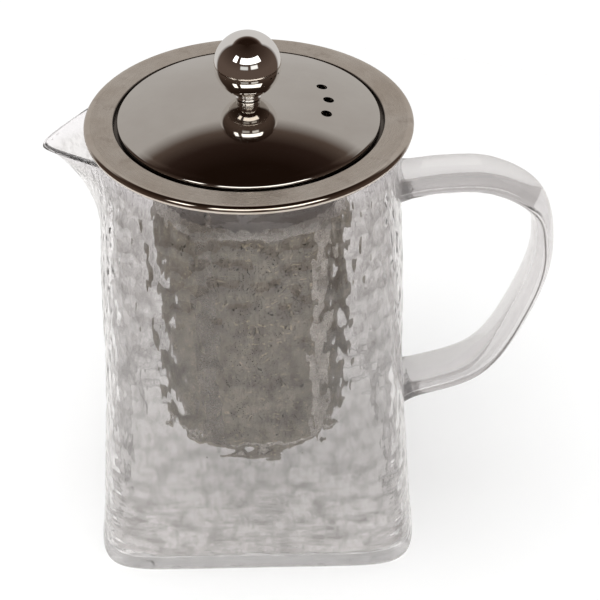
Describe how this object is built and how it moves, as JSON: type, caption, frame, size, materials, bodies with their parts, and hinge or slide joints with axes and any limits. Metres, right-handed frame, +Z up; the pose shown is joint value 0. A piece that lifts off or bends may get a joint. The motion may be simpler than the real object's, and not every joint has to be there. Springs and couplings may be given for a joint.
{
  "type": "glass teapot",
  "caption": "Hammered glass teapot with a rounded-square base, round mouth with pouring lip, glass loop handle, lift-out steel infuser and domed steel lid with ball knob.",
  "frame": {"origin": "centre of the jug's base, on the resting face", "axes": "+Z up along the lift axis of infuser and lid, +X towards the handle, -X towards the pouring lip"},
  "size_m": [0.1586, 0.1028, 0.1683],
  "materials": {
    "clear_glass": "clear borosilicate, hammered with shallow dimples outside, smooth lip and rim",
    "handle_glass": "clear solid borosilicate rod, fire polished",
    "satin_steel": "satin stainless with faint tea tarnish",
    "polished_steel": "polished stainless",
    "etched_steel": "fine etched perforation in stainless sheet",
    "mirror_steel": "mirror polished stainless"
  },
  "bodies": {
    "jug": {"glass_jug": "clear_glass", "glass_handle": "handle_glass"},
    "infuser": {"infuser_rim": "satin_steel", "infuser_collar": "polished_steel", "infuser_basket": "etched_steel", "infuser_floor": "etched_steel"},
    "lid": {"lid_dome": "mirror_steel", "lid_skirt": "polished_steel", "knob_ball": "mirror_steel", "knob_neck": "mirror_steel", "knob_washer": "polished_steel", "knob_screw": "polished_steel"}
  },
  "joints": [
    {"name": "infuser_lift", "type": "slide", "parent": "jug", "child": "infuser", "axis": [0, 0, 1], "range_m": [0, 0.12]},
    {"name": "lid_lift", "type": "slide", "parent": "infuser", "child": "lid", "axis": [0, 0, 1], "range_m": [0, 0.04]}
  ]
}
